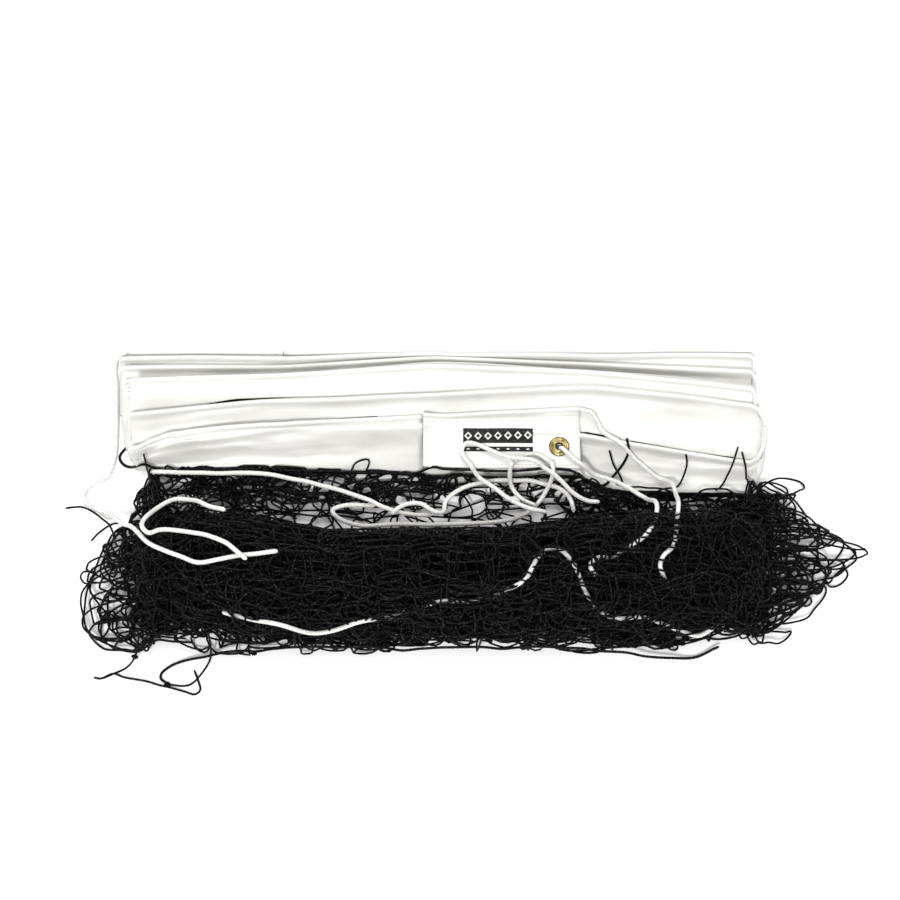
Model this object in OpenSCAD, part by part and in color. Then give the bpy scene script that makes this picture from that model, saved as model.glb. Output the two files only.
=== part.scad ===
// Tennis net, folded for storage: the white headband lies in a zigzag stack, the netting is
// gathered in a long bundle in front of it, and the loose cords lie over both.
// Millimetres, +Z up, +X along the folded runs, +Y from the netting towards the headband.
// The origin is on the ground, under the middle of the headband and the netting.

/* [Headband] */
// Length of one folded run, without its end folds
run_len = 660; // [640:5:680]
// Width of the band, from its roped edge to its stitched edge
band_w = 63.5; // [60:0.5:66]
// Thickness of the two layers of vinyl, pressed together
band_t = 1.4; // [1.2:0.1:1.5]
// How far each folded pair of runs is shifted forwards from the pair under it
pair_step = 9; // [8.6:0.1:9.2]
// Diameter of the headline cord inside the band
headline_d = 5; // [4:0.2:5.2]

/* [End patches] */
// Length of the sewn patch at each end of the band
patch_len = 165; // [150:1:170]
// Thickness of a patch with the band's end inside it
patch_t = 2.2; // [2:0.1:2.4]
// Radius of the hole through an eyelet
eyelet_hole_r = 4; // [3.5:0.1:4.5]
// Radius of an eyelet's flange
eyelet_flange_r = 10.75; // [9:0.25:12]

/* [Netting] */
// Greatest height of the gathered netting
net_h = 108; // [90:1:115]
// Height of the thin netting between the middle of the bundle and the band
skirt_h = 14; // [10:1:20]

/* [Cords] */
// Diameter of the white lacing cords
lacing_d = 5; // [4:0.2:5.2]
// Diameter of the black cord along the netting's bottom edge
border_d = 3; // [2.6:0.2:4]
// Diameter of the netting twine
twine_d = 2.4; // [2:0.2:3]

/* [Hidden] */

last_run = 18;                       // runs are numbered from 0 on the ground
back_y = 171;                        // back edge of the lowest run
left_x = -367;                       // left end of the lowest run
left_step = 1.9;                     // each pair starts this much further right
right_step = 1.3;
channel_r = headline_d / 2 + 0.2;    // bore that the headline cord lies in
hem_r = channel_r + 0.6;             // outside of the rolled edge round it
run_pitch = band_t + 0.3;            // from one run to the next
first_lift = 3.5;                    // room for the far patch and its eyelet
hem_gap = 0.2;
rise = 3 * hem_r - run_pitch + hem_gap;  // from an upper run's tail to its headline cord
ledge = 0.05;                        // from a tail's underside to its rolled edge's
fold_len = 8;                        // the band's U-turn at each end of a run
fold_wall = 0.7;
wall_y = hem_r + 0.5;                // the upper run's layer in front of the lower hem
seam_x = -52;                        // where the near patch starts on the top run
patch_gap = 0.3;                     // between the top run and the patch, at the seam
patch_lift = 1.2;                    // a patch over the run under it, room for the washer
washer_t = 1;
flange_t = 1.5;
barrel_wall = 0.8;
barrel_gap = 0.1;
eyelet_at = [91, 48];
far_eyelet_at = [-345, 129];
label_at = [-12, 41];                 // corner of the printed label on the near patch
label_size = [78, 28, 0.4];
stitch = [6, 0.8, 0.6];
stitch_pitch = 9;

// Which shingle a run is in, counted from the back
function pair_of(n) = ceil(n / 2);
function is_upper(n) = n > 0 && n % 2 == 0;
function rope_y(n) = back_y - hem_r - pair_step * pair_of(n);
function tail_z(n) = n == 0 ? 0 : first_lift + run_pitch * n;
function rope_z(n) = tail_z(n) + ledge + (is_upper(n) ? rise : hem_r);
function front_y(n) = back_y - pair_step * pair_of(n) - band_w;
function run_x0(n) = left_x + left_step * pair_of(n);
function run_x1(n) = left_x + run_len + right_step * floor(n / 2);
patch_z = tail_z(last_run) + patch_lift;
far_patch_z = 1.3;

// Outline of the netting on the ground, from left to right: front edge, back edge, where the
// full bundle ends, and the bundle's height as a share of net_h
front_edge = [
    [-416, -112], [-396, -150], [-352, -166], [-290, -171], [200, -171], [245, -165],
    [305, -158], [348, -138], [390, -92], [416, -64]
];
back_edge = [
    [-416, -72], [-405, -15], [-384, 6], [-350, 25], [300, 25], [326, 16], [369, -22], [416, -52]
];
bundle_edge = [
    [-416, -72], [-384, -30], [-340, -5], [-235, -20], [-150, -42], [30, -40], [136, -24],
    [240, -12], [305, -12], [345, -30], [416, -52]
];
bundle_share = [
    [-416, 0.1], [-405, 0.3], [-373, 0.55], [-330, 0.78], [-235, 0.93], [-80, 1], [136, 1],
    [240, 0.93], [305, 0.72], [348, 0.48], [390, 0.25], [416, 0.1]
];
skirt_share = [                      // the netting next to the band, as a share of skirt_h
    [-416, 0.4], [-384, 1.5], [-340, 2.1], [-230, 2.1], [-170, 1.3], [-140, 1], [110, 1],
    [180, 1.4], [330, 1.4], [416, 0.4]
];
net_cells_x = 44;
net_cells_y = 14;
net_edge_h = 5;

function net_front(x) = lookup(x, front_edge);
function net_back(x) = lookup(x, back_edge);
function bundle_z(x, y) =
    let (
        t = (y - net_front(x)) / (lookup(x, bundle_edge) - net_front(x)),
        s = abs(2 * t - 1)
    )
    s >= 1 ? 0 : net_h * lookup(x, bundle_share) * pow(1 - pow(s, 2.6), 0.55);
function skirt_z(x) = skirt_h * lookup(x, skirt_share);
function net_top(x, y) =
    y < net_front(x) || y > net_back(x) ? 0 : max(net_edge_h, bundle_z(x, y), skirt_z(x));
edge_room = 4;                       // a cord climbs this far in front of the band
function band_top(x, y) =
    let (top_n = x > seam_x + patch_len ? last_run - 1 : last_run)
    y < front_y(last_run) - edge_room || y > back_y || x < left_x || x > run_x1(last_run) ? 0
        : y > rope_y(last_run) - 2 * hem_r ? rope_z(top_n) + hem_r
        : x < seam_x || x > seam_x + patch_len ? tail_z(top_n) + band_t
        : patch_z + patch_t;

// A smooth curve through hand-chosen points [x, y, lift above what the cord lies on]
cord_steps = 3;
cord_clearance = 0.6;
function curve_point(a, b, c, d, t) =
    0.5 * (2 * b + (c - a) * t + (2 * a - 5 * b + 4 * c - d) * t * t
        + (3 * b - a - 3 * c + d) * t * t * t);
function curve(p) =
    let (n = len(p))
    [
        for (i = [0 : n - 2])
            for (s = [0 : cord_steps - 1])
                curve_point(p[max(i - 1, 0)], p[i], p[i + 1], p[min(i + 2, n - 1)], s / cord_steps),
        p[n - 1]
    ];
function rested(p, r) = [
    for (q = curve(p))
        [q.x, q.y, max(net_top(q.x, q.y), band_top(q.x, q.y)) + r + cord_clearance + q.z]
];

// One closed tube along a path, with rings square to it
function unit(v) = v / norm(v);
function tangent(p, i) = unit(p[min(i + 1, len(p) - 1)] - p[max(i - 1, 0)]);
function side_of(t, last) = unit(last - t * (last * t));
function sides(p) = [
    for (
        i = 0, s = side_of(tangent(p, 0), abs(tangent(p, 0).z) > 0.9 ? [0, 1, 0] : [0, 0, 1]);
        i < len(p);
        i = i + 1, s = side_of(tangent(p, min(i, len(p) - 1)), s)
    ) s
];
module tube(p, d, n = 8) {
    s = sides(p);
    rings = [
        for (i = [0 : len(p) - 1])
            for (j = [0 : n - 1])
                p[i] + d / 2 * (cos(360 * j / n) * s[i]
                    + sin(360 * j / n) * cross(tangent(p, i), s[i]))
    ];
    last = len(p) - 1;
    faces = concat(
        [[for (j = [0 : n - 1]) j]],
        [[for (j = [n - 1 : -1 : 0]) last * n + j]],
        [
            for (i = [0 : last - 1])
                for (j = [0 : n - 1])
                    [i * n + j, (i + 1) * n + j, (i + 1) * n + (j + 1) % n, i * n + (j + 1) % n]
        ]
    );
    polyhedron(rings, faces, convexity = 10);
}

// Routes of the loose cords and twines, each point as [x, y, lift]
headline_tail_route = [
    [132, 76, 0], [138, 64, 0], [157, 51, 0], [171, 40, 0], [190, 27, 0], [205, 18, 0],
    [211, 6, 0], [212, -8, 0], [209, -45, 0], [204, -76, 0], [194, -88, 0], [189, -100, 0],
    [195, -114, 0]
];
far_tail_route = [
    [-379.5, 133, 0], [-378, 104, 0], [-377, 75, 0], [-378, 48, 0], [-385, 26, 0], [-400, 18, 0],
    [-409, 6, 0], [-400, -8, 0], [-382, -16, 0], [-363, -37, 0], [-343, -60, 0], [-330, -74, 0],
    [-312, -84, 0], [-295, -91, 0], [-278, -98, 0], [-257, -96, 0], [-235, -92, 0], [-215, -90, 0],
    [-197, -88, 0]
];
eyelet_lacing_route = [
    [101, 37, 1], [112, 29, 1], [126, 24, 1], [143, 20, 0], [157, 11, 0], [171, 1, 0],
    [182, -8, 0], [189, -32, 0], [178, -64, 0], [157, -81, 0], [139, -90, 0], [125, -93, 0],
    [118, -104, 0], [125, -113, 0]
];
long_lacing_route = [
    [-335, 22, 0], [-310, 22, 0], [-280, 22, 0], [-250, 21, 0], [-222, 20, 0], [-193, 17, 0],
    [-167, 13, 0], [-142, 7, 0], [-124, 0, 3], [-108, -7, 7], [-95, -14, 7], [-78, -20, 7],
    [-60, -23, 6], [-42, -23, 6]
];
looped_lacing_route = [
    [-102, -11, 0], [-119, -10, 0], [-135, -11, 0], [-146, -16, 0], [-140, -24, 0], [-121, -31, 0],
    [-98, -33, 0], [-76, -32, 0], [-45, -32, 0], [-19, -32, 0], [8, -30, 0], [34, -26, 0],
    [51, -21, 0], [65, -11, 0], [77, 3, 8], [84, 17, 20], [80, 30, 2], [69, 37, 1],
    [55, 37, 1], [43, 29, 2], [39, 18, 20], [42, 7, 8], [52, -5, 6], [66, -12, 6]
];
ring_lacing_route = [
    [-84, -24, 12], [-76, -17, 12], [-66, -13, 12], [-54, -13, 12], [-45, -18, 12],
    [-37, -22, 12], [-30, -19, 8], [-28, -9, 6], [-20, 0, 6], [-6, 8, 6], [13, 13, 6],
    [34, 16, 5], [57, 16, 5], [77, 11, 5], [92, 6, 4], [102, -5, 6], [106, -19, 2]
];
vee_lacing_route = [
    [78, -23, 12], [60, -19, 18], [38, -9, 18], [22, 3, 18], [4, 18, 12], [-6, 31, 2],
    [-11, 42, 2], [-6, 50, 2], [4, 49, 2], [22, 41, 2], [38, 33, 6], [61, 26, 18], [79, 18, 28],
    [92, 9, 22], [104, -1, 14], [119, -7, 3], [133, -8, 0]
];
side_line_route = [
    [-252, -40, 6], [-269, -34, 6], [-287, -20, 3], [-306, -16, 3], [-322, -28, 3], [-332, -44, 6],
    [-336, -58, 12], [-329, -66, 12], [-318, -62, 6], [-302, -62, 0], [-284, -66, 0],
    [-269, -70, 0], [-250, -80, 6], [-238, -90, 8], [-228, -98, 8]
];
bottom_line_route = [
    [-254, -142, 0], [-235, -146, 0], [-216, -151, 0], [-198, -156, 0], [-177, -160, 0],
    [-156, -160, -4], [-129, -156, -10], [-98, -150, -14], [-66, -142, -14], [-34, -137, -14],
    [-2, -134, -12], [30, -128, -6], [51, -120, -2], [59, -106, 0], [65, -93, 0], [75, -84, 0],
    [89, -86, -2], [102, -102, -8], [112, -122, -8], [127, -138, -2], [148, -146, 0],
    [173, -144, 0],
    [194, -148, 0], [212, -152, 0], [231, -156, 0], [246, -150, 0]
];
border_route = [
    [254, -162, 0], [226, -172, 0], [189, -174, 0], [150, -171, 0], [93, -170, 0], [51, -170, 0],
    [8, -170, 0], [-34, -170, 0], [-71, -170, 0], [-106, -170, 0], [-145, -170, 0],
    [-182, -170, 0], [-225, -170, 0], [-260, -171, 0], [-290, -174, 0], [-307, -178, 0],
    [-319, -186, 0], [-321, -193, 0], [-315, -198, 0]
];
left_twine_route = [
    [-428, -8, 0], [-418, -8, 3], [-409, -9, 6], [-400, -13, 6.5], [-390, -20, 6],
    [-380, -30, 5], [-374, -42, 1], [-371, -54, 0], [-366, -64, 0]
];
corner_twine_route = [
    [-390, -192, 0], [-382, -193, 0], [-370, -188, 0], [-358, -192, 0], [-336, -196, 0],
    [-323, -200, 0], [-310, -203, 0], [-296, -207, 0], [-286, -210, 0], [-280, -205, 0],
    [-283, -194, 0], [-287, -184, 0]
];
right_twine_route = [
    [297, 2, 0], [311, 14, 0], [329, 22, 0], [344, 22, 0], [350, 14, 0], [337, 2, 0],
    [321, -6, 0], [307, -22, 0]
];

// Cross-sections are drawn with their first axis along Y and their second along Z
module along_x(x0, x1) {
    translate([x0, 0, 0]) rotate([90, 0, 90]) linear_extrude(x1 - x0) children();
}

module slot(a, b, r) {
    d = b - a;
    translate(a) circle(r, $fn = 32);
    translate(b) circle(r, $fn = 32);
    flank = r - ledge;
    translate(a) rotate(atan2(d.y, d.x)) translate([0, -flank]) square([norm(d), 2 * flank]);
}

// The rolled edge round the headline cord, and the flat tail down to the stitched edge
module hem_section(n) {
    translate([rope_y(n), rope_z(n)]) circle(hem_r, $fn = 32);
    if (is_upper(n)) {
        translate([rope_y(n) - wall_y - band_t, tail_z(n)])
            square([band_t, rope_z(n) - tail_z(n) + band_t / 2]);
        translate([rope_y(n) - wall_y - band_t / 2, rope_z(n) - band_t / 2])
            square([wall_y, band_t]);
    }
}

module tail_section(n, z, t) {
    reach = is_upper(n) ? rope_y(n) - wall_y : rope_y(n);
    translate([front_y(n), z]) square([reach - front_y(n), t]);
}

module channel(n) {
    translate([rope_y(n), rope_z(n)]) circle(channel_r, $fn = 32);
}

module run(n, x0, x1) {
    along_x(x0, x1) difference() {
        union() {
            hem_section(n);
            tail_section(n, tail_z(n), band_t);
        }
        channel(n);
    }
}

// The U-turn from run n to the run above it, hollow where the headline cord turns with it
module band_fold(n) {
    a = [rope_y(n), rope_z(n)];
    b = [rope_y(n + 1), rope_z(n + 1)];
    right = n % 2 == 0;
    x0 = right ? run_x1(n) : run_x0(n) - fold_len;
    x1 = x0 + fold_len;
    ring_x0 = right ? x0 : x0 + fold_wall;
    ring_x1 = ring_x0 + fold_len - fold_wall;
    cap_x0 = right ? ring_x1 : x0;
    tail_back = min(rope_y(n), rope_y(n + 1)) - wall_y;
    along_x(ring_x0, ring_x1) difference() {
        slot(a, b, hem_r);
        slot(a, b, channel_r);
    }
    along_x(cap_x0, cap_x0 + fold_wall) slot(a, b, hem_r);
    along_x(x0, x1)
        translate([front_y(n + 1), tail_z(n)])
            square([tail_back - front_y(n + 1), tail_z(n + 1) - tail_z(n) + band_t]);
}

module headband() {
    color("white") {
        run(0, run_x0(0) + patch_len + patch_gap, run_x1(0));
        for (n = [1 : last_run - 1]) run(n, run_x0(n), run_x1(n));
        run(last_run, run_x0(last_run), seam_x - patch_gap);
        for (n = [0 : last_run - 1]) band_fold(n);
    }
}

// Where the headline cord turns with the band, as points on a half circle
function turn(n) =
    let (
        a = [rope_y(n), rope_z(n)],
        b = [rope_y(n + 1), rope_z(n + 1)],
        right = n % 2 == 0,
        x = right ? run_x1(n) : run_x0(n),
        m = (a + b) / 2,
        h = (a - b) / 2
    )
    [
        for (w = [0 : 60 : 180])
            let (q = m + h * cos(w))
            [x + (right ? 1 : -1) * min(norm(h), fold_len - fold_wall - channel_r) * sin(w), q.x, q.y]
    ];
function headline_path() = concat(
    [[run_x0(0) - 1, rope_y(0), rope_z(0)]],
    [for (n = [0 : last_run - 1]) each turn(n)],
    [[seam_x - patch_gap, rope_y(last_run), rope_z(last_run)]]
);

module headline_cord() {
    color("ivory") tube(headline_path(), headline_d);
}

// The reinforced end of the band: same section as a run, thicker, closed at its outer end
module patch(n, x0, x1, z, hole_at) {
    color("whitesmoke") difference() {
        along_x(x0, x1) {
            hem_section(n);
            tail_section(n, z, patch_t);
        }
        along_x(x0 - 1, x1 + 1) channel(n);
        translate([hole_at.x, hole_at.y, z - 1])
            cylinder(h = patch_t + 2, r = eyelet_hole_r + barrel_wall + barrel_gap, $fn = 64);
    }
}

module end_patch() {
    patch(last_run, seam_x, seam_x + patch_len, patch_z, eyelet_at);
}

module far_end_patch() {
    patch(0, run_x0(0), run_x0(0) + patch_len, far_patch_z, far_eyelet_at);
}

// Stitches round the edge of a patch
module patch_stitches(n, x0, z) {
    inset = 5;
    depth = band_w - 4 * hem_r;
    color("gainsboro") {
        for (x = [inset : stitch_pitch : patch_len - inset - stitch.x])
            for (y = [0, depth])
                translate([x0 + x, front_y(n) + 2 + y, z]) cube(stitch);
        for (y = [stitch_pitch : stitch_pitch : depth - stitch_pitch])
            for (x = [inset / 2, patch_len - inset / 2])
                translate([x0 + x, front_y(n) + 2 + y, z])
                    translate([-stitch.y / 2, 0, 0]) cube([stitch.y, stitch.x, stitch.z]);
    }
}

module end_patch_stitching() {
    patch_stitches(last_run, seam_x, patch_z + patch_t);
}

module far_end_stitching() {
    patch_stitches(0, run_x0(0), far_patch_z + patch_t);
}

// The thread that closes the band on the net, along the top run's front edge
module hem_stitching() {
    color("gainsboro")
        for (x = [run_x0(last_run) + 4 : 2 * stitch_pitch : seam_x - 2 * stitch_pitch])
            translate([x, front_y(last_run) + 4, tail_z(last_run) + band_t]) cube(stitch);
}

module label() {
    color("dimgray") translate([label_at.x, label_at.y, patch_z + patch_t]) cube(label_size);
}

// A brass eyelet: flange on top, barrel through the band, curled over the washer below
module brass_eyelet(at, z) {
    barrel_r = eyelet_hole_r + barrel_wall;
    curl_t = 0.3;
    color("goldenrod") translate([at.x, at.y, z]) rotate_extrude($fn = 64) polygon([
        [eyelet_hole_r, -washer_t - curl_t], [barrel_r + 1.4, -washer_t - curl_t],
        [barrel_r + 1.4, -washer_t], [barrel_r, -washer_t], [barrel_r, patch_t],
        [eyelet_flange_r, patch_t], [eyelet_flange_r - 0.6, patch_t + 0.8],
        [eyelet_flange_r - 2.6, patch_t + flange_t], [barrel_r + 1, patch_t + flange_t - 0.2],
        [eyelet_hole_r, patch_t + 0.6]
    ]);
}

module washer(at, z) {
    color("darkgoldenrod") translate([at.x, at.y, z - washer_t]) difference() {
        cylinder(h = washer_t, r = eyelet_flange_r - 0.75, $fn = 64);
        translate([0, 0, -1])
            cylinder(h = washer_t + 2, r = eyelet_hole_r + barrel_wall + barrel_gap, $fn = 64);
    }
}

module eyelet() { brass_eyelet(eyelet_at, patch_z); }

module eyelet_washer() { washer(eyelet_at, patch_z); }

module far_eyelet() { brass_eyelet(far_eyelet_at, far_patch_z); }

module far_eyelet_washer() { washer(far_eyelet_at, far_patch_z); }

// The gathered netting: a low heap with a flat underside, highest along its middle
module netting() {
    last_i = net_cells_x;
    last_j = net_cells_y;
    row = last_j + 1;
    x0 = front_edge[0].x;
    x1 = front_edge[len(front_edge) - 1].x;
    spots = [
        for (i = [0 : last_i])
            for (j = [0 : last_j])
                let (
                    x = x0 + (x1 - x0) * (1 - cos(180 * i / last_i)) / 2,
                    y = net_front(x) + (net_back(x) - net_front(x)) * j / last_j
                ) [x, y]
    ];
    rim = concat(
        [for (j = [0 : last_j]) j],
        [for (i = [1 : last_i]) i * row + last_j],
        [for (j = [last_j - 1 : -1 : 0]) last_i * row + j],
        [for (i = [last_i - 1 : -1 : 1]) i * row]
    );
    tops = [for (s = spots) [s.x, s.y, net_top(s.x, s.y)]];
    feet = [for (k = rim) [spots[k].x, spots[k].y, 0]];
    count = len(tops);
    around = len(rim);
    color("black") polyhedron(
        concat(tops, feet),
        concat(
            [
                for (i = [0 : last_i - 1])
                    for (j = [0 : last_j - 1])
                        let (k = i * row + j)
                        each [[k, k + 1, k + row + 1], [k, k + row + 1, k + row]]
            ],
            [
                for (k = [0 : around - 1])
                    let (m = (k + 1) % around)
                    each [[rim[m], rim[k], count + k], [rim[m], count + k, count + m]]
            ],
            [[for (k = [around - 1 : -1 : 0]) count + k]]
        ),
        convexity = 6
    );
}

// The headline cord goes on through the near patch and comes out at its end
module headline_tail() {
    inside = [
        [seam_x - patch_gap, rope_y(last_run), rope_z(last_run)],
        [seam_x + patch_len + 2, rope_y(last_run), rope_z(last_run)],
        [seam_x + patch_len + 12, rope_y(last_run) - 3, rope_z(last_run) + 0.5]
    ];
    color("ivory") tube(concat(inside, rested(headline_tail_route, headline_d / 2)), headline_d);
}

// At the far end it comes out of the lowest run and lies on the ground round the stack
module far_headline_tail() {
    inside = [
        [run_x0(0) - 1.1, rope_y(0), rope_z(0)],
        [run_x0(0) - 4, rope_y(0), rope_z(0)],
        [run_x0(0) - 12, rope_y(0) - 5, rope_z(0)],
        [run_x0(0) - 15, rope_y(0) - 18, rope_z(0)]
    ];
    color("ivory") tube(concat(inside, rested(far_tail_route, headline_d / 2)), headline_d);
}

module lacing(route) {
    color("ivory") tube(rested(route, lacing_d / 2), lacing_d);
}

module eyelet_lacing_cord() { lacing(eyelet_lacing_route); }

module long_lacing_cord() { lacing(long_lacing_route); }

module looped_lacing_cord() { lacing(looped_lacing_route); }

module ring_lacing_cord() { lacing(ring_lacing_route); }

module vee_lacing_cord() { lacing(vee_lacing_route); }

module side_line_cord() { lacing(side_line_route); }

module bottom_line_cord() { lacing(bottom_line_route); }

module bottom_border_cord() {
    color("black") tube(rested(border_route, border_d / 2), border_d);
}

module twine(route) {
    color("black") tube(rested(route, twine_d / 2), twine_d);
}

module left_loose_twine() { twine(left_twine_route); }

module corner_loose_twine() { twine(corner_twine_route); }

module right_loose_twine() { twine(right_twine_route); }

headband();
hem_stitching();
headline_cord();
netting();
end_patch();
end_patch_stitching();
label();
eyelet();
eyelet_washer();
far_end_patch();
far_end_stitching();
far_eyelet();
far_eyelet_washer();
headline_tail();
far_headline_tail();
eyelet_lacing_cord();
long_lacing_cord();
looped_lacing_cord();
ring_lacing_cord();
vee_lacing_cord();
side_line_cord();
bottom_line_cord();
bottom_border_cord();
left_loose_twine();
corner_loose_twine();
right_loose_twine();
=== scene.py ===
import math

import bpy
import numpy as np
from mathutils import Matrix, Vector


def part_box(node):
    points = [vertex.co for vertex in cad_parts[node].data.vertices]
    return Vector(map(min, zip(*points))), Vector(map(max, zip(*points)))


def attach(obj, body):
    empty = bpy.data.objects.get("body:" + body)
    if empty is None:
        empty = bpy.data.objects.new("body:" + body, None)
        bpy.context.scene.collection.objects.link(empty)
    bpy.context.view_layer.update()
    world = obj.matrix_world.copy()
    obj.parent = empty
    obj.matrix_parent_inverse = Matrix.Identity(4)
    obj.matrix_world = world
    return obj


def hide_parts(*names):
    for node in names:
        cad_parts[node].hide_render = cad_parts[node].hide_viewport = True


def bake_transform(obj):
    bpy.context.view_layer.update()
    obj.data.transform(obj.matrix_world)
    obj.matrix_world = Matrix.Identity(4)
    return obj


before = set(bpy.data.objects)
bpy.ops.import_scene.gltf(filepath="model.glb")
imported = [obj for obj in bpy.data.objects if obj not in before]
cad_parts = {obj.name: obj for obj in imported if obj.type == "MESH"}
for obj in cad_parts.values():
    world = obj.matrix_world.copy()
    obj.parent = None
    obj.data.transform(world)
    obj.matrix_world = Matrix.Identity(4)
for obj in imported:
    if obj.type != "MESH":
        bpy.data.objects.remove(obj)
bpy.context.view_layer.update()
MM = 0.001


# ------------ mesh helpers
def add_piece(name, verts_mm, quads, material, tris=(), smooth=True):
    """One mesh object from points in millimetres."""
    verts = np.asarray(verts_mm, float).reshape(-1, 3) * MM
    quads = np.asarray(quads, np.int32).reshape(-1, 4)
    tris = np.asarray(tris, np.int32).reshape(-1, 3)
    loops = np.concatenate([quads.ravel(), tris.ravel()])
    starts = np.concatenate(
        [np.arange(len(quads)) * 4, len(quads) * 4 + np.arange(len(tris)) * 3]
    ).astype(np.int32)
    mesh = bpy.data.meshes.new(name)
    mesh.vertices.add(len(verts))
    mesh.vertices.foreach_set("co", verts.astype(np.float32).ravel())
    mesh.loops.add(len(loops))
    mesh.loops.foreach_set("vertex_index", loops.astype(np.int32))
    mesh.polygons.add(len(starts))
    mesh.polygons.foreach_set("loop_start", starts)
    mesh.polygons.foreach_set("use_smooth", np.full(len(starts), smooth))
    mesh.update(calc_edges=True)
    mesh.validate()
    mesh.materials.append(material)
    obj = bpy.data.objects.new(name, mesh)
    bpy.context.scene.collection.objects.link(obj)
    return obj


class Parts:
    """Collects points and faces of several shapes for one mesh."""

    def __init__(self):
        self.verts, self.quads, self.tris, self.count = [], [], [], 0

    def add(self, verts, quads=(), tris=()):
        verts = np.asarray(verts, float).reshape(-1, 3)
        self.verts.append(verts)
        if len(quads):
            self.quads.append(np.asarray(quads).reshape(-1, 4) + self.count)
        if len(tris):
            self.tris.append(np.asarray(tris).reshape(-1, 3) + self.count)
        self.count += len(verts)

    def piece(self, name, material):
        quads = np.concatenate(self.quads) if self.quads else ()
        tris = np.concatenate(self.tris) if self.tris else ()
        return add_piece(name, np.concatenate(self.verts), quads, material, tris)


def unit(v):
    return v / np.maximum(np.linalg.norm(v, axis=-1, keepdims=True), 1e-9)


def cap_fans(first, sides, turned):
    """Triangles that close a tube's end."""
    fan = [[first, first + j + 1, first + j] for j in range(1, sides - 1)]
    return [f[::-1] for f in fan] if turned else fan


def grid_quads(rows, around, closed=True):
    """Faces between rows of points; closed joins each row's last point to its first."""
    i = (np.arange(rows - 1) * around)[:, None]
    j = np.arange(around if closed else around - 1)[None]
    k = (j + 1) % around
    return np.stack([i + j, i + around + j, i + around + k, i + k], axis=-1).reshape(-1, 4)


def rings(path, side, up, radius, sides):
    """A ring of points round each point of a line."""
    a = 2 * math.pi * np.arange(sides) / sides
    turn = np.cos(a)[:, None] * side[..., None, :] + np.sin(a)[:, None] * up[..., None, :]
    return path[..., None, :] + radius * turn


def strand_tubes(lines, radius, sides=5):
    """Thin closed tubes along many short lines of equal point count."""
    lines = np.asarray(lines, float)
    count, steps = lines.shape[:2]
    along = unit(np.gradient(lines, axis=1))
    ref = np.where(np.abs(along[..., 2:]) > 0.9, [1.0, 0, 0], [0, 0, 1.0])
    side = unit(np.cross(along, ref))
    ring = rings(lines, side, np.cross(side, along), radius, sides)
    first = (np.arange(count) * steps * sides)[:, None, None]
    quads = first + np.roll(grid_quads(steps, sides), -1, axis=1)[None]
    fan = np.array(cap_fans(0, sides, False))
    tris = [first + fan[None], first + (steps - 1) * sides + fan[None, :, ::-1]]
    return ring.reshape(-1, 3), quads.reshape(-1, 4), np.concatenate(tris).reshape(-1, 3)


def transported(path):
    """Sideways directions along a line that never spin suddenly."""
    along = unit(np.gradient(path, axis=0))
    side = np.cross(along[0], [0, 0, 1.0])
    if np.linalg.norm(side) < 0.2:
        side = np.cross(along[0], [1.0, 0, 0])
    side /= np.linalg.norm(side)
    sides = [side]
    for t in along[1:]:
        side = side - t * side.dot(t)
        side /= np.linalg.norm(side)
        sides.append(side)
    return along, np.array(sides)


def walked_along(line):
    """Distance walked at each point of a line."""
    return np.concatenate([[0], np.cumsum(np.linalg.norm(np.diff(line, axis=0), axis=1))])


def laid_tube(path, radius, pitch, sides=16, lobes=3, depth=0.1):
    """A rope whose strands wind round it, with ends drawn in."""
    along, side = transported(path)
    walked = walked_along(path)
    a = 2 * math.pi * np.arange(sides) / sides
    wave = np.abs(np.sin(0.5 * lobes * (a[None] - 2 * math.pi * walked[:, None] / pitch)))
    r = radius * (1 - depth + depth * np.sqrt(wave))
    edge = np.minimum(walked, walked[-1] - walked)
    r = r * np.sqrt(np.clip((edge + 0.3) / 2.2, 0.1, 1))[:, None]
    ring = rings(path, side, np.cross(side, along), r[..., None], sides)
    n = len(path)
    quads = np.roll(grid_quads(n, sides), -1, axis=1)
    tris = cap_fans(0, sides, False) + cap_fans((n - 1) * sides, sides, True)
    return ring.reshape(-1, 3), quads, tris


def smooth_lines(points, per=2):
    """Catmull-Rom lines through rows of points, all at once."""
    first, last = points[:, :1], points[:, -1:]
    p = np.concatenate([2 * first - points[:, 1:2], points, 2 * last - points[:, -2:-1]], axis=1)
    a, b, c, d = (p[:, k : k + points.shape[1] - 1, None] for k in range(4))
    t = (np.arange(per) / per)[None, None, :, None]
    q = 2 * b + (c - a) * t + (2 * a - 5 * b + 4 * c - d) * t**2 + (3 * b - a - 3 * c + d) * t**3
    return np.concatenate([0.5 * q.reshape(len(points), -1, points.shape[2]), last], axis=1)


def smooth_line(points, step):
    """One smooth line through points, at even steps."""
    return resample(smooth_lines(np.asarray(points, float)[None], 24)[0], step)


def resample(line, step):
    walked = walked_along(line)
    at = np.linspace(0, walked[-1], max(3, int(walked[-1] / step) + 1))
    return np.stack([np.interp(at, walked, line[:, i]) for i in range(line.shape[1])], axis=1)


def blur(values, width):
    """A running average along the first axis that keeps the ends."""
    if width < 1:
        return values
    kernel = np.hanning(2 * width + 3)[1:-1]
    kernel /= kernel.sum()
    return np.convolve(np.pad(values, width, mode="edge"), kernel, mode="valid")


def soften(values, axis, share=0.5):
    """Mix each inner value with its two neighbours along an axis."""
    v = np.swapaxes(values.copy(), 0, axis)
    v[1:-1] = share * v[1:-1] + (1 - share) / 2 * (v[:-2] + v[2:])
    return np.swapaxes(v, 0, axis)


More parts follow.
